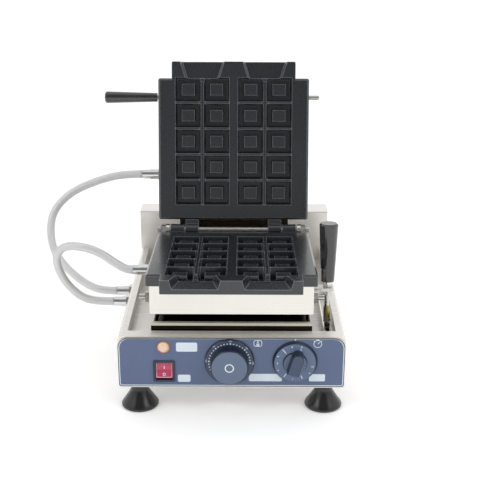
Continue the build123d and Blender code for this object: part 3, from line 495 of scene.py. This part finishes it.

# Conduits: braided stainless wire over the irons' heater leads, 11 mm thick, with chrome-plated end fittings.
# The strands cross every 4.5 mm, drawn coarse so that they show, at a metallic value of 0.8.
# Each follows the route of its solid on one smooth line.
chrome = material("Chrome-plated brass", "cfd0d2", "e2e2e2", 8.0, (0.08, 0.2), 1.0, relief=0.03)
dress(chrome, "base_glands", "lower_gland", "upper_gland", "lift_ferrule")
braid = bpy.data.materials.new("Braided stainless wire")
braid.use_nodes = True
tree = braid.node_tree
wire = tree.nodes["Principled BSDF"]
wire.inputs["Metallic"].default_value = 0.8
wire.inputs["Roughness"].default_value = 0.36
strand_pitch = 0.0045
strands_round = 12.0
laid = add(tree, "ShaderNodeUVMap", {"uv_map": "strand"})
parts = add(tree, "ShaderNodeSeparateXYZ", Vector=laid.outputs["UV"])
waves = []
for lean_way in (strands_round, -strands_round):
    lean = add(tree, "ShaderNodeMath", {"operation": "MULTIPLY"}, _0=parts.outputs["X"], _1=lean_way)
    along = add(tree, "ShaderNodeMath", _0=parts.outputs["Y"], _1=lean.outputs["Value"])
    turned = add(tree, "ShaderNodeMath", {"operation": "MULTIPLY"}, _0=along.outputs["Value"],
                 _1=2 * math.pi)
    waves.append(add(tree, "ShaderNodeMath", {"operation": "SINE"}, _0=turned.outputs["Value"]))
over = add(tree, "ShaderNodeMath", {"operation": "MAXIMUM"}, _0=waves[0].outputs["Value"],
           _1=waves[1].outputs["Value"])
depth = add(tree, "ShaderNodeMapRange", Value=over.outputs["Value"], From_Min=-0.6, From_Max=1.0)
# Painted shade and highlight: the weave's hollows are painted darker and its crowns paler.
shade = add(tree, "ShaderNodeMix", {"data_type": "RGBA"}, _0=depth.outputs["Result"], _6=colour("8a8b8d"),
            _7=colour("f4f4f4"))
tree.links.new(shade.outputs[2], wire.inputs["Base Color"])
relief = add(tree, "ShaderNodeBump", Height=depth.outputs["Result"], Strength=0.8, Distance=0.0004)
tree.links.new(relief.outputs["Normal"], wire.inputs["Normal"])

routes = {
    "upper_hose": ("upper_iron", [
        (-0.1303, 0.2679, 0.2263), (-0.160, 0.2679, 0.2263), (-0.200, 0.263, 0.216), (-0.233, 0.255, 0.202),
        (-0.256, 0.243, 0.180), (-0.2605, 0.230, 0.153), (-0.254, 0.217, 0.126), (-0.232, 0.203, 0.103),
        (-0.204, 0.193, 0.0845), (-0.182, 0.186, 0.080), (-0.1623, 0.186, 0.080)]),
    "lower_hose": ("lower_iron", [
        (-0.1303, 0.1134, 0.1406), (-0.139, 0.1134, 0.1406), (-0.154, 0.115, 0.149), (-0.174, 0.118, 0.163),
        (-0.197, 0.121, 0.170), (-0.222, 0.1245, 0.1695), (-0.234, 0.128, 0.154), (-0.232, 0.132, 0.132),
        (-0.222, 0.1375, 0.108), (-0.203, 0.1435, 0.086), (-0.180, 0.149, 0.080), (-0.1623, 0.149, 0.080)]),
}
hose_radius = 0.0055
sides = 28
for name, (iron, points) in routes.items():
    line = bpy.data.curves.new(name + "_line", "CURVE")
    line.dimensions = "3D"
    line.resolution_u = 16
    spline = line.splines.new("NURBS")
    spline.points.add(len(points) - 1)
    for knot, point in zip(spline.points, points):
        knot.co = (*(Vector(point) + SHIFT), 1.0)
    spline.order_u = 3
    spline.use_endpoint_u = True
    holder = bpy.data.objects.new(name + "_line", line)
    followed = bpy.data.meshes.new_from_object(holder)
    path = [v.co.copy() for v in followed.vertices]
    bpy.data.objects.remove(holder)
    bm = bmesh.new()
    across = Vector((0, 0, 1))
    rings, marks = [], []
    length = 0.0
    for i, point in enumerate(path):
        ahead = (path[min(i + 1, len(path) - 1)] - path[max(i - 1, 0)]).normalized()
        across = (across - ahead * across.dot(ahead)).normalized()
        turned = Matrix((across, ahead.cross(across), ahead)).transposed().to_4x4()
        if i:
            length += (point - path[i - 1]).length
        marks.append(length)
        rings.append(bmesh.ops.create_circle(bm, segments=sides, radius=hose_radius,
                                             matrix=Matrix.Translation(point) @ turned)["verts"])
    strand = bm.loops.layers.uv.new("strand")
    for i in range(len(rings) - 1):
        for k in range(sides):
            after = (k + 1) % sides
            face = bm.faces.new((rings[i][k], rings[i][after], rings[i + 1][after], rings[i + 1][k]))
            face.smooth = True
            corners = ((k, i), (k + 1, i), (k + 1, i + 1), (k, i + 1))
            for loop, (u, v) in zip(face.loops, corners):
                loop[strand].uv = (u / sides, marks[v] / strand_pitch)
    bm.faces.new(reversed(rings[0]))
    bm.faces.new(rings[-1])
    bmesh.ops.recalc_face_normals(bm, faces=bm.faces)
    mesh = bpy.data.meshes.new(name + "_braid")
    bm.to_mesh(mesh)
    bm.free()
    tube = bpy.data.objects.new(name + "_braid", mesh)
    bpy.context.scene.collection.objects.link(tube)
    mesh.materials.append(braid)
    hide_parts(name)
    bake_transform(tube)

# Studio: a white paper floor, white to the camera and in metal, that keeps the object's shadow.
# The sky is bright overhead and behind and dim at the camera's side, and two softboxes stand in front.
floor_white = bpy.data.materials.new("Matte white paper")
floor_white.use_nodes = True
tree = floor_white.node_tree
paper = tree.nodes["Principled BSDF"]
paper.inputs["Base Color"].default_value = colour("fafafa")
paper.inputs["Roughness"].default_value = 0.9
paper.inputs["Emission Color"].default_value = (1.0, 1.0, 1.0, 1.0)
rays = add(tree, "ShaderNodeLightPath")
seen = add(tree, "ShaderNodeMath", {"operation": "MAXIMUM"}, _0=rays.outputs["Is Camera Ray"],
           _1=rays.outputs["Is Glossy Ray"])
seen_through = add(tree, "ShaderNodeMath", {"operation": "MAXIMUM"}, _0=seen.outputs["Value"],
                   _1=rays.outputs["Is Transmission Ray"])
paper_lift = 0.22
lifted = add(tree, "ShaderNodeMath", {"operation": "MULTIPLY"}, _0=seen_through.outputs["Value"],
             _1=paper_lift)
tree.links.new(lifted.outputs["Value"], paper.inputs["Emission Strength"])
bm = bmesh.new()
bmesh.ops.create_circle(bm, cap_ends=True, segments=64, radius=6.0)
floor_mesh = bpy.data.meshes.new("studio_floor")
bm.to_mesh(floor_mesh)
bm.free()
floor = bpy.data.objects.new("studio_floor", floor_mesh)
bpy.context.scene.collection.objects.link(floor)
floor_mesh.materials.append(floor_white)

world = bpy.data.worlds.new("studio")
bpy.context.scene.world = world
world.use_nodes = True
tree = world.node_tree
direction = add(tree, "ShaderNodeNewGeometry").outputs["Position"]
way = add(tree, "ShaderNodeSeparateXYZ", Vector=direction)
high = add(tree, "ShaderNodeMapRange", Value=way.outputs["Z"], From_Min=0.25, From_Max=0.6)
rear = add(tree, "ShaderNodeMapRange", Value=way.outputs["Y"], From_Min=-0.7, From_Max=0.2, To_Min=0.68,
           To_Max=0.97)
sky = add(tree, "ShaderNodeMix", _0=high.outputs["Result"], _2=rear.outputs["Result"], _3=1.0)
camera_side = (0.0, -0.78, 0.63)
toward = add(tree, "ShaderNodeVectorMath", {"operation": "DOT_PRODUCT"}, _0=direction, _1=camera_side)
lobe = add(tree, "ShaderNodeMapRange", Value=toward.outputs["Value"], From_Min=0.8, From_Max=0.92,
           To_Min=1.0, To_Max=0.25)
dimmed = add(tree, "ShaderNodeMath", {"operation": "MULTIPLY"}, _0=sky.outputs[0],
             _1=lobe.outputs["Result"])
shown = add(tree, "ShaderNodeMath", {"operation": "MAXIMUM"}, _0=dimmed.outputs["Value"],
            _1=add(tree, "ShaderNodeLightPath").outputs["Is Camera Ray"])
tree.links.new(shown.outputs["Value"], tree.nodes["Background"].inputs["Strength"])
tree.nodes["Background"].inputs["Color"].default_value = (1.0, 1.0, 1.0, 1.0)

softbox_aim = Vector((0.0, 0.0, 0.15))
for name, place in (("left softbox", (-1.3, -1.2, 1.7)), ("right softbox", (1.3, -1.2, 1.7))):
    lamp = bpy.data.lights.new(name, "AREA")
    lamp.size = 0.6
    lamp.energy = 7.0
    holder = bpy.data.objects.new(name, lamp)
    holder.location = place
    holder.rotation_euler = (softbox_aim - Vector(place)).to_track_quat("-Z", "Y").to_euler()
    bpy.context.scene.collection.objects.link(holder)

# Camera: at the photograph's place, height and angle, with the same width of view.
pitch, yaw, roll = math.radians(19.94), math.radians(-0.2), math.radians(0.12)
focal_pixels, picture_pixels = 989.9, 480.0
ahead = Vector((math.sin(yaw) * math.cos(pitch), math.cos(yaw) * math.cos(pitch), -math.sin(pitch)))
level = Vector((math.cos(yaw), -math.sin(yaw), 0.0))
upright = level.cross(ahead)
right = level * math.cos(roll) + upright * math.sin(roll)
upward = upright * math.cos(roll) - level * math.sin(roll)
lens = bpy.data.cameras.new("camera")
lens.sensor_width = 36.0
lens.lens = lens.sensor_width * focal_pixels / picture_pixels
camera = bpy.data.objects.new("camera", lens)
eye = Vector((0.0141, -1.09466, 0.62072)) + SHIFT
camera.matrix_world = Matrix.Translation(eye) @ Matrix((right, upward, -ahead)).transposed().to_4x4()
bpy.context.scene.collection.objects.link(camera)
bpy.context.scene.camera = camera
bpy.context.scene.view_settings.view_transform = "Standard"

bpy.context.view_layer.update()
